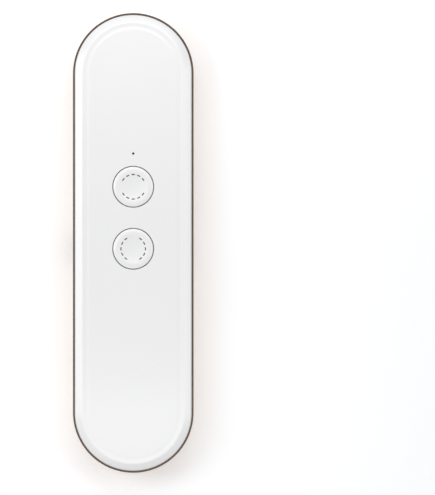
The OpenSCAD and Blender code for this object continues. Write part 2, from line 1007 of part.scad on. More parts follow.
// Fine cloth behind the holes, inside the gasket
module grille_mesh() {
    color("#3f3b38")
        upright()
            translate([0, speaker_y, shell_wall])
                pill(speaker_run)
                    square([speaker_w / 2 - 2.1, mesh_t]);
}

// Two wires from the loudspeaker's end to pads on the board
module speaker_leads() {
    wire_r = 0.3;
    pad_inset = 2.5;
    end_y = speaker_y - speaker_len / 2 + 0.05;
    color("#a33a2e")
        upright()
            for (side = [-1, 1])
                translate([side * 1.2, board_top_y - pad_inset, board_top_z + wire_r])
                    rotate([-90, 0, 0])
                        cylinder(r = wire_r, h = end_y - board_top_y + pad_inset);
}

// ---- Battery ----

module battery() {
    color("#c9cdd2")
        upright()
            translate([0, battery_top_y, battery_z + battery_t / 2])
                rotate([90, 0, 0])
                    linear_extrude(battery_len)
                        rounded_rectangle(battery_w, battery_t, 1.2);
}

module battery_tape() {
    color("#44474b")
        upright()
            translate([0, battery_top_y - battery_len / 2, shell_wall])
                block([min(battery_w - 3, 2 * roll_x), battery_len - 4, battery_tape_t]);
}

// Protection circuit, wrapped against the cell's upper end
module battery_circuit() {
    color("#d9b23a")
        upright()
            translate([0, battery_top_y + circuit_size.y / 2, battery_z + (battery_t - circuit_size.z) / 2])
                block(circuit_size);
}

module battery_leads() {
    wire_r = 0.35;
    color("#b23a30")
        upright()
            for (x = [-1.2, 0, 1.2])
                translate([x, battery_top_y + circuit_size.y, lead_z])
                    rotate([-90, 0, 0])
                        cylinder(
                            r = wire_r,
                            h = board_bottom_y + socket_inset - battery_top_y - circuit_size.y
                        );
}

module battery_socket() {
    color("#ece8df")
        upright()
            translate([
                0,
                board_bottom_y + socket_inset + battery_socket_size.y / 2,
                board_z - battery_socket_size.z
            ])
                block(battery_socket_size);
}

// ---- Antenna ----

// Copper film round the inside of the upper end, with a tail down to the board
module antenna_flex() {
    tail_y = board_top_y - 5;
    color("#b8743c")
        upright() {
            translate([0, body_run / 2, film_z])
                rotate_extrude(angle = 120)
                    translate([film_r, 0])
                        square([film_t, film_h]);
            translate([film_r, tail_y, film_z])
                cube([film_t, body_run / 2 - tail_y, film_h]);
        }
}

// Spring clip that takes the film's signal to the board
module antenna_clip() {
    clip_w = 1.6;
    sheet_t = 0.2;
    base_x = board_half_w - 1.3;
    color("#cfae62")
        upright()
            translate([0, board_top_y - 3.4, board_top_z])
                rotate([90, 0, 0])
                    linear_extrude(clip_w)
                        polygon([
                            [base_x, 0], [board_half_w - slip, 0],
                            [film_r - sheet_t, 1.6], [film_r - slip, 2.6],
                            [film_r - slip - sheet_t, 2.6], [film_r - 2.2 * sheet_t, 1.7],
                            [board_half_w - slip - 0.1, sheet_t], [base_x, sheet_t]
                        ]);
}

back_shell();
trim_ring();
front_panel();
panel_tape();
inner_chassis();
chassis_screws();
upper_talk_button();
upper_button_marks();
upper_switch_plunger();
upper_switch();
lower_talk_button();
lower_button_marks();
lower_switch_plunger();
lower_switch();
power_key();
power_switch_plunger();
power_switch();
volume_key();
volume_pivot_pin();
volume_up_plunger();
volume_down_plunger();
volume_switches();
reset_plunger();
reset_switch();
front_mic();
mic_boot();
main_board();
shield_can();
board_chips();
battery();
battery_tape();
battery_circuit();
battery_leads();
battery_socket();
speaker_frame();
speaker_magnet();
speaker_cone();
speaker_gasket();
grille_mesh();
speaker_leads();
usb_shell();
usb_tongue();
usb_contacts();
antenna_flex();
antenna_clip();
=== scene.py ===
"""Looks of the handheld translator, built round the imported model.

Every piece is made in metres in the row frame. Lengths of the object are written in millimetres, as in the
CAD source, and MM turns them into metres; the stage, lamps and camera are placed in metres. "Depth" is the
distance from the flat back towards the front, so a point at depth d has y = -d. "Out" is the distance from
the pill's centre line, along which the round ends have their centres.
"""

import json
import math

import bmesh
import bpy
from mathutils import Matrix, Vector


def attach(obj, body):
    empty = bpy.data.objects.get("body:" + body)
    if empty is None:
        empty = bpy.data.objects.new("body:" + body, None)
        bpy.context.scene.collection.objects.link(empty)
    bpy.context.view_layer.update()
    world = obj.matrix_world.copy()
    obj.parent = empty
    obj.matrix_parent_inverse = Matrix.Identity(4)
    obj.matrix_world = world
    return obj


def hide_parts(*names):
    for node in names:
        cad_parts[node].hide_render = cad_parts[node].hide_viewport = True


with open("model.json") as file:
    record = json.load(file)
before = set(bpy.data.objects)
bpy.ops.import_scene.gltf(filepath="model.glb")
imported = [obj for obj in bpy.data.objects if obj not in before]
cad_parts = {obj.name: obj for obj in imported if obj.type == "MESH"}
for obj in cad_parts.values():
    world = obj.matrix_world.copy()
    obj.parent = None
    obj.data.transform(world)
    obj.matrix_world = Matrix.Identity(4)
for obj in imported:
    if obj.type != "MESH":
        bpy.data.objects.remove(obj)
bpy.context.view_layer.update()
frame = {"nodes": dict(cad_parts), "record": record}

MM = 0.001

# Sizes shared with the CAD source, in millimetres
BODY_LEN = 141.0
BODY_W = 37.0
BODY_T = 12.4
SHELL_WALL = 1.3
BACK_ROLL_R = 7.0
BACK_FLAT_CUT = 0.17
RIM_DEPTH = 10.4
TRIM_TOP = 11.2
TRIM_W = 0.55
LIP_INNER_R = 16.4
LIP_T = 0.7
LIP_H = 1.0
LEDGE_DEPTH = 10.7
PANEL_DEPTH = 11.0
PANEL_R = 17.9
UPPER_BUTTON_Z = 17.2
LOWER_BUTTON_Z = -1.8
BUTTON_R = 6.15
BUTTON_GAP = 0.25
MIC_Z = 27.4
MIC_HOLE_R = 0.35
KEY_DEPTH = 3.5
KEY_H = 2.2
KEY_GAP = 0.2
KEY_OUTER_X = 18.077
POWER_KEY_Z = 19.5
POWER_KEY_LEN = 8.65
VOLUME_KEY_Z = 2.5
VOLUME_KEY_LEN = 18.2
ROCKER_ARM = 6.5
PAD_X = 14.4
PAD_TOP = 6.2
PIVOT_X = 15.4
PORT_Z = -1.8
PORT_DEPTH = 3.4
PORT_LEN = 9.6
PORT_H = 3.4
PINHOLE_Z = 20.0
PINHOLE_DEPTH = 2.4
PINHOLE_R = 0.4
BOARD_TOP_Z = 33.5
BOARD_BOTTOM_Z = -14.5
SPEAKER_Z = 48.4
GRILLE_HOLE_R = 0.39
GRILLE_COLUMN_PITCH = 1.71
GRILLE_ROW_PITCH = 1.94
GRILLE_ROWS = 9

HALF_W = BODY_W / 2
RUN = BODY_LEN - BODY_W
ROLL_CENTRE = (HALF_W - BACK_ROLL_R, BACK_ROLL_R - BACK_FLAT_CUT)

ARC_STEPS = 72          # segments round each end of a pill
SIDE_STEPS = 26         # segments along each straight side
ROLL_STEPS = 20         # segments across a rolled edge
BUTTON_STEPS = 128      # segments round a talk button and its hole
GRILLE_STEPS = 20       # segments round each hole of the grille
SHARP_ANGLE = 35.0      # degrees between faces, from which a crease is drawn sharp


# ---- Mesh helpers ----

def new_object(name, bm, sharp_angle=SHARP_ANGLE):
    """Turns a bmesh drawn in millimetres into a smooth-shaded object with sharp creases."""
    bmesh.ops.recalc_face_normals(bm, faces=bm.faces)
    bmesh.ops.scale(bm, vec=(MM, MM, MM), verts=bm.verts)
    mesh = bpy.data.meshes.new(name)
    bm.to_mesh(mesh)
    bm.free()
    mesh.shade_smooth()
    mesh.set_sharp_from_angle(angle=math.radians(sharp_angle))
    obj = bpy.data.objects.new(name, mesh)
    bpy.context.scene.collection.objects.link(obj)
    return obj


def pill_ring(bm, out, depth, run=RUN):
    """One ring of vertices: a pill outline at distance `out` from the centre line."""
    ring = []
    for end in (1, -1):
        for step in range(ARC_STEPS + 1):
            angle = math.pi * step / ARC_STEPS
            x = end * out * math.cos(angle)
            z = end * (run / 2 + out * math.sin(angle))
            ring.append(bm.verts.new((x, -depth, z)))
        for step in range(1, SIDE_STEPS):
            z = end * run * (0.5 - step / SIDE_STEPS)
            ring.append(bm.verts.new((-end * out, -depth, z)))
    return ring


def round_ring(bm, centre, radius, depth, steps):
    """One circle of vertices about an axis along Y through `centre`, an (x, z) pair."""
    ring = []
    for step in range(steps):
        angle = 2 * math.pi * step / steps
        x = centre[0] + radius * math.cos(angle)
        z = centre[1] + radius * math.sin(angle)
        ring.append(bm.verts.new((x, -depth, z)))
    return ring


def bridge(bm, ring_a, ring_b):
    """Joins two rings of equal length with a band of quads."""
    count = len(ring_a)
    for i in range(count):
        j = (i + 1) % count
        bm.faces.new((ring_a[i], ring_a[j], ring_b[j], ring_b[i]))


def sweep(bm, rings, closed=False):
    """Joins each ring to the next, and the last to the first where the section is closed."""
    for ring_a, ring_b in zip(rings, rings[1:]):
        bridge(bm, ring_a, ring_b)
    if closed:
        bridge(bm, rings[-1], rings[0])


def ring_edges(bm, ring):
    pairs = zip(ring, ring[1:] + ring[:1])
    return [bm.edges.get(pair) for pair in pairs]


def fill(bm, *rings):
    """Fills the flat area between an outer ring and any rings inside it."""
    edges = [edge for ring in rings for edge in ring_edges(bm, ring)]
    bmesh.ops.triangle_fill(bm, use_beauty=True, edges=edges)


def arc(centre, radius, start, stop, steps):
    """Points on an arc, as (out, depth) pairs; angles in degrees, from the +out direction."""
    points = []
    for step in range(steps + 1):
        angle = math.radians(start + (stop - start) * step / steps)
        points.append((centre[0] + radius * math.cos(angle), centre[1] + radius * math.sin(angle)))
    return points


def slope_profile(slopes, depth, way, steps):
    """Points outwards over a surface given by its slope in degrees at some distances out.

    Each stretch is drawn in `steps` parts. The depth grows along the slope where `way` is 1, and lessens
    where it is -1.
    """
    out, slope = slopes[0]
    points = [(out, depth)]
    for next_out, next_slope in slopes[1:]:
        width = (next_out - out) / steps
        for step in range(steps):
            middle = slope + (next_slope - slope) * (step + 0.5) / steps
            depth += way * width * math.tan(math.radians(middle))
            points.append((out + width * (step + 1), depth))
        out, slope = next_out, next_slope
    return points


def pill_rings(bm, section, run=RUN):
    return [pill_ring(bm, out, depth, run) for out, depth in section]


def round_rings(bm, centre, section, steps):
    return [round_ring(bm, centre, radius, depth, steps) for radius, depth in section]


def solid_pill(bm, section, run):
    """A closed form: the section's rings, with its first and last ring filled."""
    rings = pill_rings(bm, section, run)
    sweep(bm, rings)
    fill(bm, rings[0])
    fill(bm, rings[-1])


def solid_round(bm, centre, section, steps):
    """A closed turned form about an axis along Y."""
    rings = round_rings(bm, centre, section, steps)
    sweep(bm, rings)
    fill(bm, rings[0])
    fill(bm, rings[-1])


def side_matrix(side, z, depth):
    """Turns a form drawn about the origin, outwards along -Y, to point out of one long side."""
    return Matrix.Translation((0, -depth, z)) @ Matrix.Rotation(math.radians(90 * side), 4, "Z")


def place_new(bm, first, matrix):
    """Moves the vertices that were added after the first `first` ones."""
    verts = list(bm.verts)[first:]
    bmesh.ops.transform(bm, matrix=matrix, verts=verts)


def block(bm, low, high):
    """A box between two corners."""
    low, high = Vector(low), Vector(high)
    made = bmesh.ops.create_cube(bm, size=1.0)
    bmesh.ops.scale(bm, vec=high - low, verts=made["verts"])
    bmesh.ops.translate(bm, vec=(low + high) / 2, verts=made["verts"])


def combine(obj, operation, name, draw):
    """Adds or cuts away the forms that `draw` makes, and keeps the result as the object's own mesh."""
    bm = bmesh.new()
    draw(bm)
    other = new_object(name, bm)
    modifier = obj.modifiers.new(name, "BOOLEAN")
    modifier.operation = operation
    modifier.solver = "EXACT"
    modifier.use_self = True
    modifier.object = other
    depsgraph = bpy.context.evaluated_depsgraph_get()
    result = bpy.data.meshes.new_from_object(obj.evaluated_get(depsgraph))
    obj.modifiers.clear()
    obj.data = result
    bpy.data.objects.remove(other)


def even_normals(obj):
    """Lets the large faces lead the shading, so that flats stay flat up to their edges."""
    normals = obj.modifiers.new("even normals", "WEIGHTED_NORMAL")
    normals.keep_sharp = True


def finish_edges(obj, width, where):
    """Rounds the sharp creases whose midpoint, in millimetres, `where` picks."""
    mesh = obj.data
    mesh.set_sharp_from_angle(angle=math.radians(SHARP_ANGLE))
    bm = bmesh.new()
    bm.from_mesh(mesh)
    layers = bm.edges.layers.float
    weights = layers.get("bevel_weight_edge") or layers.new("bevel_weight_edge")
    for edge in bm.edges:
        middle = (edge.verts[0].co + edge.verts[1].co) / 2 / MM
        if not edge.smooth and where(middle):
            edge[weights] = 1.0
    bm.to_mesh(mesh)
    bm.free()
    bevel = obj.modifiers.new("edge rounding", "BEVEL")
    bevel.limit_method = "WEIGHT"
    bevel.width = width * MM
    bevel.segments = 2
    bevel.use_clamp_overlap = True
    even_normals(obj)


def dress(obj, material, body, slot, *nodes):
    """Gives a new piece its material and its body, and hides the CAD nodes that it stands for; `slot` is
    not used.
    """
    obj.data.materials.clear()
    obj.data.materials.append(material)
    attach(obj, body)
    if nodes:
        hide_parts(*nodes)


# ---- Material helpers ----

class Shader:
    """A material on one Principled shader, with textures laid in the piece's own coordinates."""

    def __init__(self, name, colour, roughness, metallic=0.0, sockets=None):
        self.material = bpy.data.materials.new(name)
        self.material.use_nodes = True
        self.tree = self.material.node_tree
        self.principled = self.tree.nodes["Principled BSDF"]
        self.colour = colour
        values = {"Base Color": (*colour, 1.0), "Roughness": roughness, "Metallic": metallic}
        values.update(sockets or {})
        for socket, value in values.items():
            self.principled.inputs[socket].default_value = value
        self.place = self.tree.nodes.new("ShaderNodeTexCoord").outputs["Object"]
        self.normal = None

    def link(self, source, target):
        self.tree.links.new(source, target)

    def calculate(self, operation, a, b):
        """Works on two values, each a number or another node's output."""
        node = self.tree.nodes.new("ShaderNodeMath")
        node.operation = operation
        for socket, value in zip(node.inputs, (a, b)):
            if isinstance(value, (int, float)):
                socket.default_value = value
            else:
                self.link(value, socket)
        return node.outputs[0]

    def stretched(self, factors):
        """The piece's coordinates, scaled apart along its axes."""
        node = self.tree.nodes.new("ShaderNodeMapping")
        node.inputs["Scale"].default_value = factors
        self.link(self.place, node.inputs["Vector"])
        return node.outputs[0]

    def noise(self, size, detail=2.0, place=None):
        """Noise with features of about `size` millimetres."""
        node = self.tree.nodes.new("ShaderNodeTexNoise")
        node.inputs["Scale"].default_value = 1 / (size * MM)
        node.inputs["Detail"].default_value = detail
        self.link(place or self.place, node.inputs["Vector"])
        return node.outputs["Fac"]

    def cells(self, size):
        """Distance from the nearest of many points, `size` millimetres apart."""
        node = self.tree.nodes.new("ShaderNodeTexVoronoi")
        node.inputs["Scale"].default_value = 1 / (size * MM)
        self.link(self.place, node.inputs["Vector"])
        return node.outputs["Distance"]

    def threads(self, size, direction):
        """Fine parallel bands across one axis, `size` millimetres apart."""
        period_at_scale_1 = 0.314
        node = self.tree.nodes.new("ShaderNodeTexWave")
        node.bands_direction = direction
        node.inputs["Scale"].default_value = period_at_scale_1 / (size * MM)
        self.link(self.place, node.inputs["Vector"])
        return node.outputs["Fac"]

    def spread(self, value, low, high, start=0.3, stop=0.7):
        """Maps the part of a texture from start to stop onto low to high."""
        node = self.tree.nodes.new("ShaderNodeMapRange")
        for socket, number in zip(node.inputs[1:5], (start, stop, low, high)):
            socket.default_value = number
        self.link(value, node.inputs[0])
        return node.outputs[0]

    def tint(self, value, other):
        """Mixes the base colour towards `other` where the texture is high."""
        socket = self.principled.inputs["Base Color"]
        node = self.tree.nodes.new("ShaderNodeMix")
        node.data_type = "RGBA"
        self.link(value, node.inputs["Factor"])
        if socket.is_linked:
            self.link(socket.links[0].from_socket, node.inputs["A"])
        else:
            node.inputs["A"].default_value = (*self.colour, 1.0)
        node.inputs["B"].default_value = (*other, 1.0)
        self.link(node.outputs["Result"], socket)

    def vary_roughness(self, value, low, high):
        """Lets the roughness follow a texture between two levels."""
        self.link(self.spread(value, low, high), self.principled.inputs["Roughness"])

    def bump(self, height, distance, strength=1.0):
        """Raises the surface by up to `distance` millimetres; later calls add to earlier ones."""
        node = self.tree.nodes.new("ShaderNodeBump")
        node.inputs["Strength"].default_value = strength
        node.inputs["Distance"].default_value = distance * MM
        self.link(height, node.inputs["Height"])
        if self.normal:
            self.link(self.normal, node.inputs["Normal"])
        self.normal = node.outputs[0]
        self.link(self.normal, self.principled.inputs["Normal"])

    def paint_edge_highlight(self, other, amount=0.5):
        """Painted edge highlight: mixes in the lighter `other`, up to `amount`, where the surface is
        sharply curved outwards.
        """
        first_highlight = 0.52
        full_highlight = 0.60
        geometry = self.tree.nodes.new("ShaderNodeNewGeometry")
        edge = self.spread(geometry.outputs["Pointiness"], 0.0, amount, first_highlight, full_highlight)
        self.tint(edge, other)


def scaled(colour, factor, lift=0.0):
    """The colour made lighter or darker, at most 1 in each channel."""
    return tuple(min(1.0, channel * factor + lift) for channel in colour)


def rose_gold(name, colour, roughness, grain):
    """Bead-blasted, anodised aluminium: fine sparkle over soft cloudiness."""
    shader = Shader(name, colour, roughness, metallic=1.0)
    speckle = shader.noise(0.32, 2.0)
    clouds = shader.noise(14.0, 3.0)
    shader.tint(shader.spread(speckle, 0.0, 0.8, 0.35, 0.75), scaled(colour, 0.86))
    shader.tint(shader.spread(clouds, 0.0, 0.3), scaled(colour, 1.16))
    shader.vary_roughness(speckle, roughness - 0.06, roughness + 0.08)
    shader.bump(speckle, grain, 0.6)
    shader.bump(shader.noise(0.12, 1.0), grain / 2, 0.4)
    return shader.material


def polished_metal(name, colour, roughness):
    """Turned or diamond-cut metal, with faint lines along its length."""
    shader = Shader(name, colour, roughness, metallic=1.0)
    lines = shader.noise(0.08, 2.0, shader.stretched((1.0, 1.0, 0.03)))
    patches = shader.noise(3.0, 2.0)
    shader.tint(shader.spread(patches, 0.0, 0.35), scaled(colour, 0.85))
    shader.paint_edge_highlight(scaled(colour, 1.2), 0.6)
    shader.vary_roughness(lines, roughness - 0.04, roughness + 0.07)
    shader.bump(lines, 0.0015, 0.5)
    return shader.material


def gloss_white(name, colour, roughness, ripple):
    """Hard-coated white plastic: a clear gloss over a faintly uneven white, with the odd wiped patch."""
    shader = Shader(name, colour, roughness, sockets={"Coat Weight": 1.0, "Coat Roughness": 0.22})
    broad = shader.noise(18.0, 2.0)
    wiped = shader.noise(5.0, 4.0, shader.stretched((1.0, 1.0, 0.35)))
    shader.tint(shader.spread(broad, 0.0, 0.5), scaled(colour, 0.985))
    shader.vary_roughness(wiped, roughness - 0.02, roughness + 0.02)
    shader.bump(shader.noise(0.6, 1.0), ripple, 0.25)
    shader.bump(shader.noise(0.15, 1.0), 0.0006, 0.3)
    return shader.material


def moulded(name, colour, roughness, grain=0.35):
    """Moulded plastic or rubber with a fine spark-eroded grain."""
    shader = Shader(name, colour, roughness)
    pits = shader.cells(grain)
    cloud = shader.noise(4.0, 3.0)
    shader.tint(shader.spread(cloud, 0.0, 0.6), scaled(colour, 0.82))
    shader.paint_edge_highlight(scaled(colour, 1.25, 0.02))
    shader.vary_roughness(cloud, roughness - 0.08, roughness + 0.08)
    shader.bump(pits, 0.01, 0.5)
    return shader.material


def stamped_steel(name, colour, roughness):
    """Nickel-plated sheet with rolling lines and a few dull stains."""
    shader = Shader(name, colour, roughness, metallic=1.0)
    rolled = shader.noise(0.1, 3.0, shader.stretched((1.0, 1.0, 0.05)))
    stains = shader.noise(2.5, 4.0)
    shader.tint(shader.spread(stains, 0.0, 0.5), scaled(colour, 0.78))
    shader.paint_edge_highlight(scaled(colour, 1.25), 0.7)
    shader.vary_roughness(stains, roughness - 0.08, roughness + 0.12)
    shader.bump(rolled, 0.003, 0.5)
    return shader.material


def solder_mask(name, colour):
    """Green lacquer over copper tracks, which show as a faint raised pattern."""
    shader = Shader(name, colour, 0.32, sockets={"Coat Weight": 0.3, "Coat Roughness": 0.15})
    tracks = shader.calculate("GREATER_THAN", shader.threads(0.9, "X"), 0.72)
    rows = shader.calculate("GREATER_THAN", shader.threads(1.4, "Z"), 0.78)
    both = shader.calculate("MAXIMUM", tracks, rows)
    shader.tint(shader.calculate("MULTIPLY", both, 0.45), (0.06, 0.27, 0.12))
    shader.vary_roughness(shader.noise(1.5), 0.26, 0.4)
    shader.bump(both, 0.03, 0.6)
    return shader.material


def crinkled_foil(name, colour):
    """Laminated foil with soft folds."""
    shader = Shader(name, colour, 0.33, metallic=0.9)
    folds = shader.noise(3.0, 5.0)
    shader.tint(shader.spread(folds, 0.0, 0.4), scaled(colour, 0.8))
    shader.vary_roughness(shader.noise(0.8), 0.26, 0.44)
    shader.bump(folds, 0.12, 0.5)
    return shader.material


def woven(name, colour, pitch):
    """Plain weave of fine thread, seen through the loudspeaker's holes."""
    shader = Shader(name, colour, 0.85, sockets={"Sheen Weight": 0.3})
    across = shader.threads(pitch, "X")
    along = shader.threads(pitch, "Z")
    weave = shader.calculate("MAXIMUM", across, along)
    shader.tint(shader.spread(weave, 0.7, 0.0, 0.2, 0.9), scaled(colour, 0.35))
    shader.vary_roughness(shader.noise(1.0), 0.78, 0.92)
    shader.bump(weave, 0.05, 0.8)
    return shader.material


def foam(name, colour):
    """Foam tape with an open, bubbly face."""
    shader = Shader(name, colour, 0.9, sockets={"Sheen Weight": 0.2})
    bubbles = shader.cells(0.18)
    shader.tint(shader.spread(bubbles, 0.0, 0.8, 0.1, 0.6), scaled(colour, 0.4))
    shader.vary_roughness(bubbles, 0.82, 0.95)
    shader.bump(bubbles, 0.05, 0.8)
    return shader.material


def etched_copper(name, colour):
    """Bare copper film with darker patches, finely mottled."""
    shader = Shader(name, colour, 0.34, metallic=1.0)
    mottle = shader.noise(0.6, 3.0)
    shader.tint(shader.spread(shader.noise(6.0, 3.0), 0.0, 0.5), scaled(colour, 0.7))
    shader.vary_roughness(mottle, 0.26, 0.46)
    shader.bump(mottle, 0.006, 0.5)
    return shader.material


# ---- Materials of the outside ----

shell_metal = rose_gold("rose gold shell", (0.82, 0.64, 0.52), 0.40, 0.010)
key_metal = polished_metal("polished rose gold keys", (0.86, 0.71, 0.60), 0.26)
trim_copper = polished_metal("dark copper trim", (0.105, 0.074, 0.057), 0.24)
panel_white = gloss_white("white gloss panel", (0.86, 0.86, 0.865), 0.30, 0.002)
button_white = gloss_white("white gloss buttons", (0.85, 0.85, 0.855), 0.30, 0.002)
mark_grey = moulded("grey inlay", (0.025, 0.025, 0.028), 0.55, 0.12)

# ---- Materials of the carried-over CAD nodes, by slot ----

slot_materials = {
    "tape_black": foam("foam tape", (0.035, 0.036, 0.04)),
    "chassis_plastic": moulded("pale chassis plastic", (0.62, 0.63, 0.64), 0.55),
    "black_plastic": moulded("black glass-filled plastic", (0.022, 0.022, 0.024), 0.5),
    "pale_plastic": moulded("ivory plunger plastic", (0.72, 0.69, 0.62), 0.42),
    "steel": stamped_steel("nickel-plated steel", (0.66, 0.66, 0.67), 0.3),
    "board_green": solder_mask("green solder mask", (0.02, 0.13, 0.055)),
    "chip_black": moulded("chip package", (0.028, 0.029, 0.032), 0.62, 0.2),
    "gold_contact": polished_metal("gold plating", (0.90, 0.66, 0.30), 0.2),
    "copper_film": etched_copper("etched copper film", (0.78, 0.43, 0.25)),
    "battery_foil": crinkled_foil("battery pouch foil", (0.70, 0.71, 0.73)),
    "battery_wrap": moulded("amber polyimide wrap", (0.62, 0.36, 0.04), 0.3, 0.5),
    "red_wire": moulded("red wire insulation", (0.5, 0.035, 0.025), 0.38, 0.25),
    "rubber_black": moulded("black rubber", (0.018, 0.018, 0.02), 0.75, 0.2),
    "mesh_cloth": woven("woven dust cloth", (0.10, 0.085, 0.075), 0.2),
    "cone_film": moulded("pressed cone film", (0.05, 0.043, 0.04), 0.45, 0.5),
}


# ---- Back shell ----

POST_FOOT = SHELL_WALL - 0.1    # depth from which the posts inside the tub rise, just inside its wall

# Slope of the back's margin in degrees at each distance out, from the flat's edge to where the plain roll
# takes over
MARGIN_SLOPES = ((10.3, 0.0), (11.3, 0.6), (12.3, 2.7), (13.2, 8.0), (13.9, 17.0), (14.5, 25.4))


def outer_roll(steps):
    """From the flat back over its margin and round the roll to the side."""
    margin = slope_profile(MARGIN_SLOPES, depth=0.0, way=1, steps=3)
    join_angle = -math.degrees(math.acos((margin[-1][0] - ROLL_CENTRE[0]) / BACK_ROLL_R))
    return margin[:-1] + arc(ROLL_CENTRE, BACK_ROLL_R, join_angle, 0, steps)


def roll_angle(radius, depth):
    """Where an arc about the roll's centre line comes to a depth."""
    return math.degrees(math.asin((depth - ROLL_CENTRE[1]) / radius))


def inner_roll(steps):
    """The same roll on the inside of the wall, from the floor to the side."""
    radius = BACK_ROLL_R - SHELL_WALL
    return arc(ROLL_CENTRE, radius, roll_angle(radius, SHELL_WALL), 0, steps)


def grille_hole_places():
    """Five columns of holes, every other one with a row more and so staggered by half a row."""
    places = []
    for column in range(-2, 3):
        rows = GRILLE_ROWS + abs(column) % 2
        for row in range(rows):
            z = SPEAKER_Z + (row - (rows - 1) / 2) * GRILLE_ROW_PITCH
            places.append((column * GRILLE_COLUMN_PITCH, z))
    return places


def hole(bm, centre, section, steps):
    """A round hole's wall; returns its first and last ring, for the faces that it opens."""
    rings = round_rings(bm, centre, section, steps)
    sweep(bm, rings)
    return rings[0], rings[-1]


def draw_tub(bm):
    """The tub with its grille: outer skin, rim and inner skin, as one closed form."""
    rim_edge = 0.12
    section = [
        *outer_roll(ROLL_STEPS),
        (HALF_W, RIM_DEPTH - rim_edge),
        (HALF_W - rim_edge, RIM_DEPTH),
        (HALF_W - SHELL_WALL, RIM_DEPTH),
        *reversed(inner_roll(ROLL_STEPS)),
    ]
    rings = pill_rings(bm, section)
    sweep(bm, rings)
    chamfer = 0.08
    collar = 0.1    # flat rings round each hole, which keep the long faces of the flat off its chamfer
    hole_section = [
        (GRILLE_HOLE_R + chamfer + 2 * collar, 0.0),
        (GRILLE_HOLE_R + chamfer + collar, 0.0),
        (GRILLE_HOLE_R + chamfer, 0.0),
        (GRILLE_HOLE_R, chamfer),
        (GRILLE_HOLE_R, SHELL_WALL),
    ]
    holes = [hole(bm, centre, hole_section, GRILLE_STEPS) for centre in grille_hole_places()]
    fill(bm, rings[0], *[first for first, last in holes])
    fill(bm, rings[-1], *[last for first, last in holes])


def draw_screw_bosses(bm):
    """Hollow posts at the ends and off the board's corners, with the screws' holes in their tops."""
    boss_r = 2.2
    boss_top = 9.5
    screw_r = 0.82
    screw_end = 5.5
    end_z = BODY_LEN / 2 - 6.4
    side_x = HALF_W - 5.7
    over_board = BOARD_TOP_Z + 2.9
    under_board = BOARD_BOTTOM_Z - 2.9
    centres = [
        (0, end_z), (0, -end_z),
        (side_x, over_board), (side_x, under_board),
        (-side_x, over_board), (-side_x, under_board),
    ]
    section = [(boss_r, POST_FOOT), (boss_r, boss_top), (screw_r, boss_top), (screw_r, screw_end)]
    for centre in centres:
        solid_round(bm, centre, section, 32)


def draw_board_rests(bm):
    """Four short posts under the corners of the board."""
    rest_x = 10.5
    rest_inset = 2
    section = [(1.5, POST_FOOT), (1.5, 5.0)]
    for x in (rest_x, -rest_x):
        for z in (BOARD_TOP_Z - rest_inset, BOARD_BOTTOM_Z + rest_inset):
            solid_round(bm, (x, z), section, 28)


def draw_key_pad(bm):
    """The flat-faced pad inside the side wall that guides both keys."""
    reach = 1.6
    low_z = VOLUME_KEY_Z - VOLUME_KEY_LEN / 2 - reach
    high_z = POWER_KEY_Z + POWER_KEY_LEN / 2 + reach
    radius = BACK_ROLL_R - SHELL_WALL / 2
    start = -math.degrees(math.acos((PAD_X - ROLL_CENTRE[0]) / radius))
    section = [(PAD_X, PAD_TOP), *arc(ROLL_CENTRE, radius, start, roll_angle(radius, PAD_TOP), 14)]
    ends = [[bm.verts.new((x, -depth, z)) for x, depth in section] for z in (low_z, high_z)]
    bridge(bm, *ends)
    for end in ends:
        bm.faces.new(end)


def draw_side_openings(bm):
    """Key slots, port, pinhole and the rocker's pin hole."""
    past = HALF_W + 1
    port_side_start = 13.0
    pin_hole_r = 0.42
    pin_hole_start = 1.7

    def slot(side, z, depth, length, height, start):
        first = len(bm.verts)
        solid_pill(bm, [(height / 2, start), (height / 2, past)], length - height)
        place_new(bm, first, side_matrix(side, z, depth))

    for z, length in ((POWER_KEY_Z, POWER_KEY_LEN), (VOLUME_KEY_Z, VOLUME_KEY_LEN)):
        slot(1, z, KEY_DEPTH, length + 2 * KEY_GAP, KEY_H + 2 * KEY_GAP, PAD_X - 1)
    slot(-1, PORT_Z, PORT_DEPTH, PORT_LEN, PORT_H, port_side_start)
    first = len(bm.verts)
    solid_round(bm, (0, 0), [(PINHOLE_R, port_side_start), (PINHOLE_R, past)], 24)
    place_new(bm, first, side_matrix(-1, PINHOLE_Z, PINHOLE_DEPTH))
    first = len(bm.verts)
    pin_hole = [(pin_hole_r, pin_hole_start), (pin_hole_r, PAD_TOP + 1)]
    solid_round(bm, (0, VOLUME_KEY_Z), pin_hole, 24)
    place_new(bm, first, Matrix.Translation((PIVOT_X, 0, 0)))


def at_side_openings(place):
    """On the outside of the side walls, where the keys, the port and the pinhole are."""
    return abs(place.x) > 15.2 and -place.y < 6.0 and abs(place.z) < 30


def make_back_shell():
    bm = bmesh.new()
    draw_tub(bm)
    shell = new_object("back_shell_skin", bm)
    combine(shell, "UNION", "screw bosses", draw_screw_bosses)
    combine(shell, "UNION", "board rests", draw_board_rests)
    combine(shell, "UNION", "key pad", draw_key_pad)
    combine(shell, "DIFFERENCE", "side openings", draw_side_openings)
    finish_edges(shell, 0.12, at_side_openings)
    dress(shell, shell_metal, "handset", "shell_metal", "back_shell")


# ---- Trim ring and panel ----

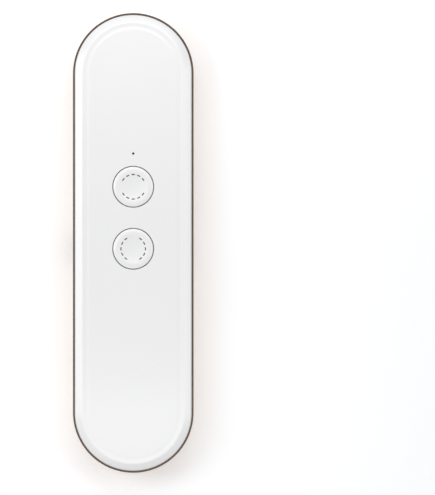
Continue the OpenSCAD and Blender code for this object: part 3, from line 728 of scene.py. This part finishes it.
def make_trim_ring():
    outer_edge = 0.22
    inner_edge = 0.08
    outer_corner = (HALF_W - outer_edge, TRIM_TOP - outer_edge)
    inner_corner = (HALF_W - TRIM_W + inner_edge, TRIM_TOP - inner_edge)
    section = [
        (LIP_INNER_R, RIM_DEPTH - LIP_H),
        (LIP_INNER_R + LIP_T, RIM_DEPTH - LIP_H),
        (LIP_INNER_R + LIP_T, RIM_DEPTH),
        (HALF_W, RIM_DEPTH),
        *arc(outer_corner, outer_edge, 0, 90, 6),
        *arc(inner_corner, inner_edge, 90, 180, 3),
        (HALF_W - TRIM_W, LEDGE_DEPTH),
        (LIP_INNER_R, LEDGE_DEPTH),
    ]
    bm = bmesh.new()
    sweep(bm, pill_rings(bm, section), closed=True)
    ring = new_object("trim_ring_line", bm)
    dress(ring, trim_copper, "handset", "trim_copper", "trim_ring")


# Slope of the panel's border in degrees, positive where it falls outwards, at each distance out: the edge
# of the flat, a shallow groove, the bead's crest, the bevel, and the roll into the panel's edge
BORDER_SLOPES = (
    (13.2, 0.0), (13.8, 9.0), (14.4, 0.0), (14.9, -10.0),
    (15.4, -5.0), (15.9, 24.0), (17.5, 28.0), (17.9, 55.0),
)

# Radius and height along the panel of each of its holes
PANEL_HOLES = (
    (BUTTON_R + BUTTON_GAP, UPPER_BUTTON_Z),
    (BUTTON_R + BUTTON_GAP, LOWER_BUTTON_Z),
    (MIC_HOLE_R, MIC_Z),
)
PANEL_CHAMFER = 0.05


def make_front_panel():
    border = slope_profile(BORDER_SLOPES, depth=BODY_T, way=-1, steps=6)
    bm = bmesh.new()
    rings = pill_rings(bm, [(PANEL_R, PANEL_DEPTH), *reversed(border)])
    sweep(bm, rings)
    ease = PANEL_CHAMFER * 0.3
    holes = []
    for radius, z in PANEL_HOLES:
        section = [
            (radius + PANEL_CHAMFER, BODY_T),
            (radius, BODY_T - PANEL_CHAMFER),
            (radius, PANEL_DEPTH),
        ]
        steps = 32
        if radius > MIC_HOLE_R:
            section.insert(1, (radius + ease, BODY_T - ease))
            steps = BUTTON_STEPS
        holes.append(hole(bm, (0, z), section, steps))
    fill(bm, rings[-1], *[first for first, last in holes])
    fill(bm, rings[0], *[last for first, last in holes])
    panel = new_object("front_panel_gloss", bm)
    even_normals(panel)
    dress(panel, panel_white, "handset", "panel_white", "front_panel")


def make_hole_shade_lining():
    """A black lining on the walls of the panel's holes, up to their chamfers: ink there, and painted shade
    that darkens the gaps round the buttons and inside the mic hole.
    """
    shade_lining_t = 0.03
    top = BODY_T - PANEL_CHAMFER - 0.01
    bm = bmesh.new()
    for radius, z in PANEL_HOLES:
        inner = radius - shade_lining_t
        section = [(radius, top), (inner, top), (inner, PANEL_DEPTH), (radius, PANEL_DEPTH)]
        sweep(bm, round_rings(bm, (0, z), section, BUTTON_STEPS), closed=True)
    shade_lining = new_object("panel_hole_shade_lining", bm)
    dress(shade_lining, slot_materials["tape_black"], "handset", "tape_black")


# ---- Talk buttons ----

SHOULDER_W = 1.25
CREST_R = BUTTON_R - SHOULDER_W
CREST_DEPTH = 12.6
DISH_DROP = 0.45            # from the crest to the middle of the dish
SHOULDER_ARC_R = 3.25
DISH_ARC_R = 23.653
DISH_JOIN_R = CREST_R * DISH_ARC_R / (DISH_ARC_R + SHOULDER_ARC_R)
DISH_CENTRE_DEPTH = CREST_DEPTH - DISH_DROP + DISH_ARC_R
BUTTON_EDGE_DEPTH = 12.25   # where the shoulder meets the button's wall
BUTTON_CORE_R = 0.04        # turned forms start this far from their axis
MARK_R = 3.77
MARK_LEN = 1.05
MARK_W = 0.34
MARKS_PER_ARC = 5
MARK_STEP = 26.5


def dish_depth(radius):
    return DISH_CENTRE_DEPTH - math.sqrt(DISH_ARC_R**2 - radius**2)


def crown_profile():
    """From near the centre of the dish, over the crest, down the shoulder to the button's wall."""
    dish_steps = 16
    radii = [BUTTON_CORE_R] + [DISH_JOIN_R * step / dish_steps for step in range(1, dish_steps + 1)]
    dish = [(radius, dish_depth(radius)) for radius in radii]
    centre = (CREST_R, CREST_DEPTH - SHOULDER_ARC_R)
    join_angle = math.degrees(math.acos((DISH_JOIN_R - CREST_R) / SHOULDER_ARC_R))
    edge_angle = math.degrees(math.acos(SHOULDER_W / SHOULDER_ARC_R))
    shoulder = arc(centre, SHOULDER_ARC_R, join_angle, edge_angle + 2, 14)[1:]
    return dish + shoulder + [(BUTTON_R - 0.03, BUTTON_EDGE_DEPTH + 0.06), (BUTTON_R, BUTTON_EDGE_DEPTH)]


def underside_profile():
    """From the button's wall over its retaining flange, the hollow and the centre post."""
    flange_r, flange_top, flange_foot = 6.9, 10.96, 10.24
    hollow_r, hollow_depth = 4.75, 10.5
    post_r, post_foot = 1.5, 10.01
    return [
        (BUTTON_R, flange_top), (flange_r, flange_top), (flange_r, flange_foot), (hollow_r, flange_foot),
        (hollow_r, hollow_depth), (post_r, hollow_depth), (post_r, post_foot), (BUTTON_CORE_R, post_foot),
    ]


def make_talk_button(name, body, node, z):
    smooth_up_to = 50.0
    bm = bmesh.new()
    solid_round(bm, (0, z), crown_profile() + underside_profile(), BUTTON_STEPS)
    button = new_object(name, bm, smooth_up_to)
    dress(button, button_white, body, "button_white", node)


def draw_mark(bm, centre_z, angle):
    """One dash, with round ends, that follows the dish and stands a hair above it."""
    end_r = MARK_W / 2
    end_steps = 8
    straight = MARK_LEN / 2 - end_r
    proud = 0.008
    sunk = 0.2
    outline = []
    for end in (1, -1):
        for step in range(end_steps + 1):
            turn = math.pi * (step / end_steps - end / 2)
            along = end * straight + end_r * math.cos(turn)
            across = end_r * math.sin(turn)
            outline.append((angle + along / MARK_R, MARK_R + across))
    rings = []
    for lift in (proud, -sunk):
        ring = []
        for turn, radius in outline:
            x = radius * math.cos(turn)
            z = centre_z + radius * math.sin(turn)
            ring.append(bm.verts.new((x, -dish_depth(radius) - lift, z)))
        rings.append(ring)
    bridge(bm, *rings)
    for ring in rings:
        fill(bm, ring)


def make_marks(name, body, node, z, first_angle):
    """Two arcs of dashes, opposite each other round the dish."""
    bm = bmesh.new()
    for arc_angle in (first_angle, first_angle + 180):
        for i in range(MARKS_PER_ARC):
            turn = arc_angle + (i - (MARKS_PER_ARC - 1) / 2) * MARK_STEP
            draw_mark(bm, z, math.radians(turn))
    marks = new_object(name, bm)
    dress(marks, mark_grey, body, "mark_grey", node)


# ---- Side keys ----

def key_bar(bm, z, length, inner_x):
    """A bar with round ends, a soft edge and a slightly crowned face, out of the +X side."""
    edge = 0.35
    crown = 0.05
    crown_steps = 5
    core_r = 0.01
    half_h = KEY_H / 2
    corner = (half_h - edge, KEY_OUTER_X - crown - edge)
    section = [(half_h, inner_x), *arc(corner, edge, 0, 82, 7)]
    edge_out, edge_top = section[-1]
    for step in range(1, crown_steps + 1):
        share = step / crown_steps
        lift = (KEY_OUTER_X - edge_top) * math.sin(share * math.pi / 2)
        section.append((edge_out * (1 - share) + core_r, edge_top + lift))
    first = len(bm.verts)
    solid_pill(bm, section, length - KEY_H)
    place_new(bm, first, side_matrix(1, z, KEY_DEPTH))


def make_power_key():
    inner_x = 13.65
    wing_t = 0.7
    wing_reach = 0.8
    bm = bmesh.new()
    key_bar(bm, POWER_KEY_Z, POWER_KEY_LEN, inner_x)
    key = new_object("power_key_bar", bm)

    def draw_wings(bm):
        reach = POWER_KEY_LEN / 2 + wing_reach
        low = (inner_x, -KEY_DEPTH - KEY_H / 2, POWER_KEY_Z - reach)
        high = (inner_x + wing_t, -KEY_DEPTH + KEY_H / 2, POWER_KEY_Z + reach)
        block(bm, low, high)

    combine(key, "UNION", "wings", draw_wings)
    finish_edges(key, 0.06, lambda place: place.x < 14.5)
    dress(key, key_metal, "power", "key_metal", "power_key")


def make_volume_key():
    inner_x = 13.95
    bm = bmesh.new()
    key_bar(bm, VOLUME_KEY_Z, VOLUME_KEY_LEN, inner_x)
    key = new_object("volume_key_bar", bm)

    def draw_nubs(bm):
        nub_r = 0.5
        nub_x = inner_x + 0.2
        half_h = KEY_H / 2 - 0.02
        section = [(nub_r, KEY_DEPTH - half_h), (nub_r, KEY_DEPTH + half_h)]
        for side in (-1, 1):
            first = len(bm.verts)
            solid_round(bm, (0, 0), section, 24)
            place_new(bm, first, Matrix.Translation((nub_x, 0, VOLUME_KEY_Z + side * ROCKER_ARM)))

    def draw_pin_hole(bm):
        hole_r = 0.45
        first = len(bm.verts)
        solid_round(bm, (0, 0), [(hole_r, 1.0), (hole_r, 6.0)], 24)
        place_new(bm, first, Matrix.Translation((PIVOT_X, 0, VOLUME_KEY_Z)))

    combine(key, "UNION", "switch nubs", draw_nubs)
    combine(key, "DIFFERENCE", "pin hole", draw_pin_hole)
    finish_edges(key, 0.05, lambda place: place.x < 14.0)
    dress(key, key_metal, "volume", "key_metal", "volume_key")


# ---- CAD nodes that stay ----

# Width of the bevel on each carried-over node's edges, in millimetres
ROUNDED_NODES = {
    "usb_shell": 0.06, "usb_tongue": 0.05, "inner_chassis": 0.1, "battery": 0.25, "battery_circuit": 0.2,
    "battery_socket": 0.15, "shield_can": 0.1, "board_chips": 0.06, "speaker_frame": 0.15,
    "speaker_magnet": 0.12, "upper_switch": 0.12, "lower_switch": 0.12, "power_switch": 0.1,
    "volume_switches": 0.1, "reset_switch": 0.1, "front_mic": 0.08, "chassis_screws": 0.08,
    "upper_switch_plunger": 0.15, "lower_switch_plunger": 0.15, "power_switch_plunger": 0.08,
    "volume_up_plunger": 0.08, "volume_down_plunger": 0.08, "reset_plunger": 0.06,
    "volume_pivot_pin": 0.06, "main_board": 0.04,
}


def finish_cad_nodes():
    """Gives each CAD node that still shows its slot's material and soft edges."""
    for part in frame["record"]["subparts"]:
        obj = frame["nodes"][part["node"]]
        if obj.hide_render:
            continue
        material = slot_materials[part["material_slot"]]
        obj.data.materials.clear()
        obj.data.materials.append(material)
        if part["node"] in ROUNDED_NODES:
            bevel = obj.modifiers.new("edge rounding", "BEVEL")
            bevel.limit_method = "ANGLE"
            bevel.angle_limit = math.radians(50)
            bevel.width = ROUNDED_NODES[part["node"]] * MM
            bevel.segments = 2


# ---- Stage, lights and camera ----

FLOOR_Z = -BODY_LEN / 2 * MM
WALL_Y = 0.0006     # just clear of the flat back
WHITE = (0.95, 0.96, 0.97)


def stage_plane(name, axis, level, across, along, material):
    """A flat sheet at a level of one axis (Y or Z), from low to high along X and along the other axis."""
    bm = bmesh.new()
    for x, other in ((0, 0), (1, 0), (1, 1), (0, 1)):
        place = (across[x], level, along[other]) if axis == "Y" else (across[x], along[other], level)
        bm.verts.new(place)
    bm.faces.new(bm.verts)
    mesh = bpy.data.meshes.new(name)
    bm.to_mesh(mesh)
    bm.free()
    mesh.materials.append(material)
    plane = bpy.data.objects.new(name, mesh)
    bpy.context.scene.collection.objects.link(plane)
    return plane


def paper(name, colour, glow, one_sided=False):
    """Paper or card that glows a little by itself, so that shadows on it stay soft and pale."""
    material = bpy.data.materials.new(name)
    material.use_nodes = True
    tree = material.node_tree
    tree.nodes.clear()
    output = tree.nodes.new("ShaderNodeOutputMaterial")
    diffuse = tree.nodes.new("ShaderNodeBsdfDiffuse")
    diffuse.inputs["Color"].default_value = (*colour, 1.0)
    emission = tree.nodes.new("ShaderNodeEmission")
    emission.inputs["Strength"].default_value = glow
    both = tree.nodes.new("ShaderNodeAddShader")
    tree.links.new(diffuse.outputs[0], both.inputs[0])
    tree.links.new(emission.outputs[0], both.inputs[1])
    surface = both.outputs[0]
    if one_sided:
        geometry = tree.nodes.new("ShaderNodeNewGeometry")
        clear = tree.nodes.new("ShaderNodeBsdfTransparent")
        sides = tree.nodes.new("ShaderNodeMixShader")
        tree.links.new(geometry.outputs["Backfacing"], sides.inputs[0])
        tree.links.new(surface, sides.inputs[1])
        tree.links.new(clear.outputs[0], sides.inputs[2])
        surface = sides.outputs[0]
    tree.links.new(surface, output.inputs["Surface"])
    return material


def only_seen_by(obj, *rays):
    """Hides the object from all kinds of rays but these."""
    for ray in ("camera", "diffuse", "glossy", "transmission", "volume_scatter", "shadow"):
        setattr(obj, f"visible_{ray}", ray in rays)


def make_stage():
    """A wall right behind the handset, a floor behind the wall, and a card that only reflections see."""
    white = paper("white paper", WHITE, 0.70)
    floor = stage_plane("floor", "Z", FLOOR_Z, (-1.6, 1.6), (WALL_Y, 3.2), white)
    only_seen_by(floor, "camera")
    one_sided = paper("white paper, seen from the front", WHITE, 0.155, one_sided=True)
    wall = stage_plane("wall", "Y", WALL_Y, (-0.25, 0.25), (-0.25, 0.25), one_sided)
    only_seen_by(wall, "camera")
    grey = paper("grey card", (0.0, 0.0, 0.0), 0.32)
    card = stage_plane("grey_card", "Y", 1.2, (-0.5, 2.26), (-1.5, 1.5), grey)
    only_seen_by(card, "glossy")


def make_world():
    """White as the background and in reflections, and a softer level as light."""
    world = bpy.data.worlds.new("studio")
    world.use_nodes = True
    bpy.context.scene.world = world
    tree = world.node_tree
    tree.nodes.clear()
    rays = tree.nodes.new("ShaderNodeLightPath")
    seen = rays.outputs["Is Camera Ray"]
    for ray in ("Is Glossy Ray", "Is Transmission Ray"):
        either = tree.nodes.new("ShaderNodeMath")
        either.operation = "MAXIMUM"
        tree.links.new(seen, either.inputs[0])
        tree.links.new(rays.outputs[ray], either.inputs[1])
        seen = either.outputs[0]
    light = tree.nodes.new("ShaderNodeBackground")
    light.inputs["Color"].default_value = (0.985, 0.99, 1.0, 1.0)
    light.inputs["Strength"].default_value = 0.36
    white = tree.nodes.new("ShaderNodeBackground")
    white.inputs["Color"].default_value = (1.0, 1.0, 1.0, 1.0)
    mix = tree.nodes.new("ShaderNodeMixShader")
    output = tree.nodes.new("ShaderNodeOutputWorld")
    tree.links.new(seen, mix.inputs[0])
    tree.links.new(light.outputs[0], mix.inputs[1])
    tree.links.new(white.outputs[0], mix.inputs[2])
    tree.links.new(mix.outputs[0], output.inputs["Surface"])


def softbox(name, place, aim, size, watts):
    """A rectangular lamp that the camera doesn't see."""
    lamp = bpy.data.lights.new(name, "AREA")
    lamp.shape = "RECTANGLE"
    lamp.size, lamp.size_y = size
    lamp.energy = watts
    obj = bpy.data.objects.new(name, lamp)
    obj.location = place
    obj.rotation_euler = (Vector(aim) - Vector(place)).to_track_quat("-Z", "Y").to_euler()
    obj.visible_camera = False
    bpy.context.scene.collection.objects.link(obj)


def make_lights():
    """Large lamps round the front, weak ones close to both ends, and two that edge the back."""
    softbox("key", (0.05, -0.62, 0.42), (0, 0, 0), (0.6, 0.5), 1.20)
    softbox("front left", (-0.50, -0.48, 0.09), (0, 0, 0), (0.62, 0.30), 1.52)
    softbox("front right", (0.46, -0.52, 0.0), (0, 0, 0), (0.40, 0.28), 0.56)
    softbox("front top", (0.0, -0.110, 0.118), (0, 0, 0.060), (0.16, 0.05), 0.042)
    softbox("front bottom", (0.0, -0.130, -0.115), (0, 0, -0.060), (0.22, 0.08), 0.032)
    softbox("bottom end", (0.0, -0.060, -0.056), (0, 0, -0.056), (0.10, 0.02), 0.003)
    softbox("back left", (0.75, 0.12, 0.10), (0, 0, 0), (0.4, 0.7), 0.48)
    softbox("back right", (-0.55, 0.35, 0.05), (0, 0, 0), (0.4, 0.7), 0.22)


def make_camera():
    """A long lens straight on to the front, with the handset at the left of the frame."""
    camera = bpy.data.cameras.new("camera")
    camera.sensor_width = 24
    camera.lens = 474.5
    camera.clip_end = 20
    obj = bpy.data.objects.new("camera", camera)
    obj.location = (0.02584, -3.0126, -0.00141)
    obj.rotation_euler = (math.radians(90), 0, 0)
    bpy.context.scene.collection.objects.link(obj)
    bpy.context.scene.camera = obj


make_back_shell()
make_trim_ring()
make_front_panel()
make_hole_shade_lining()
make_talk_button("upper_talk_button_cap", "upper_talk", "upper_talk_button", UPPER_BUTTON_Z)
make_talk_button("lower_talk_button_cap", "lower_talk", "lower_talk_button", LOWER_BUTTON_Z)
make_marks("upper_button_dashes", "upper_talk", "upper_button_marks", UPPER_BUTTON_Z, 90)
make_marks("lower_button_dashes", "lower_talk", "lower_button_marks", LOWER_BUTTON_Z, 0)
make_power_key()
make_volume_key()
finish_cad_nodes()
make_stage()
make_world()
make_lights()
make_camera()
bpy.context.scene.view_settings.view_transform = "Standard"
